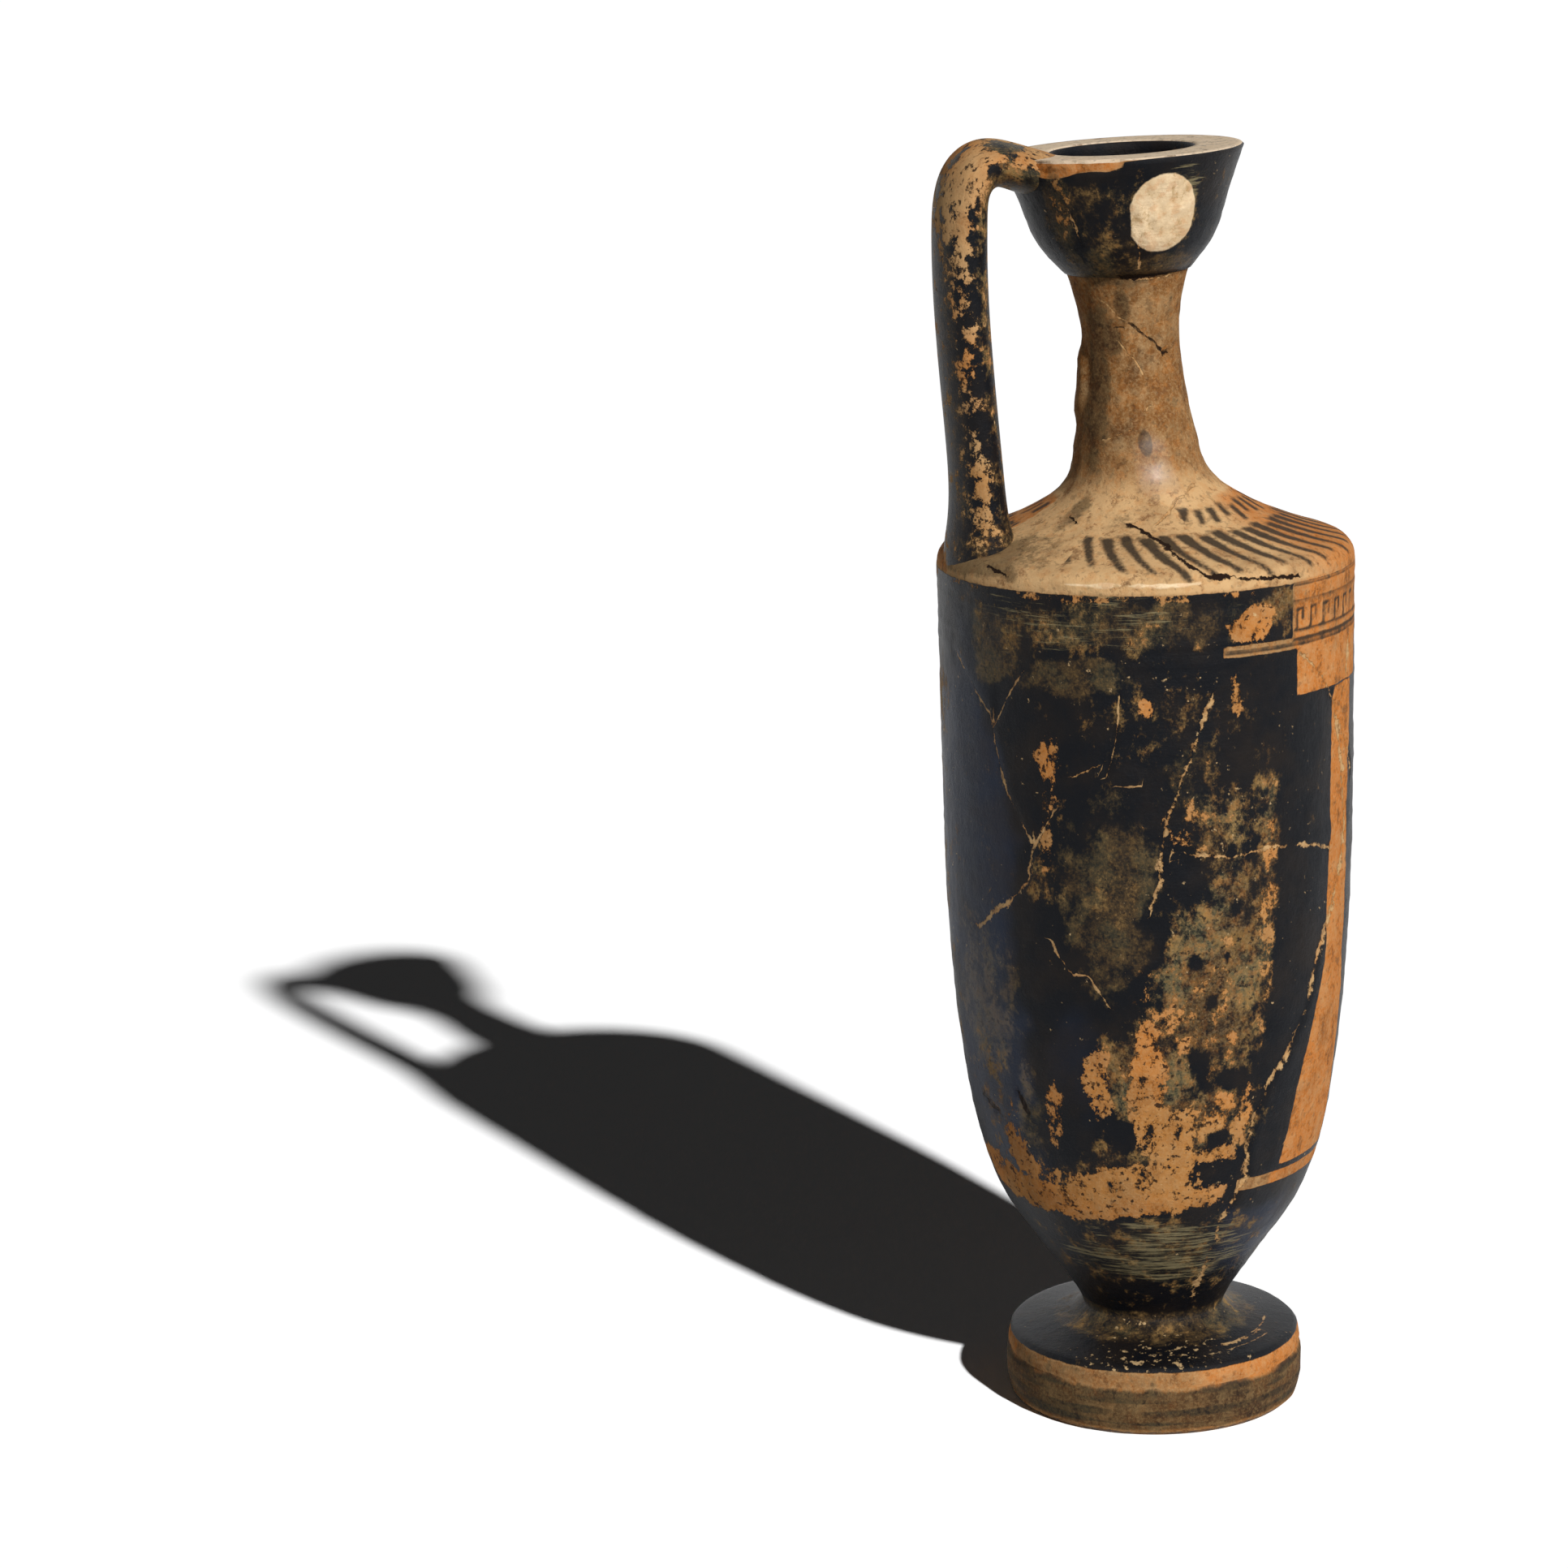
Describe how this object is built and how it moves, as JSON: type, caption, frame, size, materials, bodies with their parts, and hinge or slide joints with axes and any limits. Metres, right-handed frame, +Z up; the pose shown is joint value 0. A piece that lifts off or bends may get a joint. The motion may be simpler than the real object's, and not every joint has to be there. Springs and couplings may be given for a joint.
{
  "type": "lekythos",
  "caption": "Slender fired-clay oil vase with a tall body, sloping shoulder, narrow neck, flaring mouth, strap handle and disc foot, painted black.",
  "frame": {"origin": "centre of the foot's resting ring, on the surface that the vase stands on", "axes": "+Z up along the turning axis of foot and body, the handle towards -X, +Y to the back so that the XZ plane halves the vase"},
  "size_m": [0.072, 0.0716, 0.2222],
  "materials": {
    "painted_clay": "satin"
  },
  "bodies": {
    "root": {"lekythos": "painted_clay"}
  },
  "joints": []
}
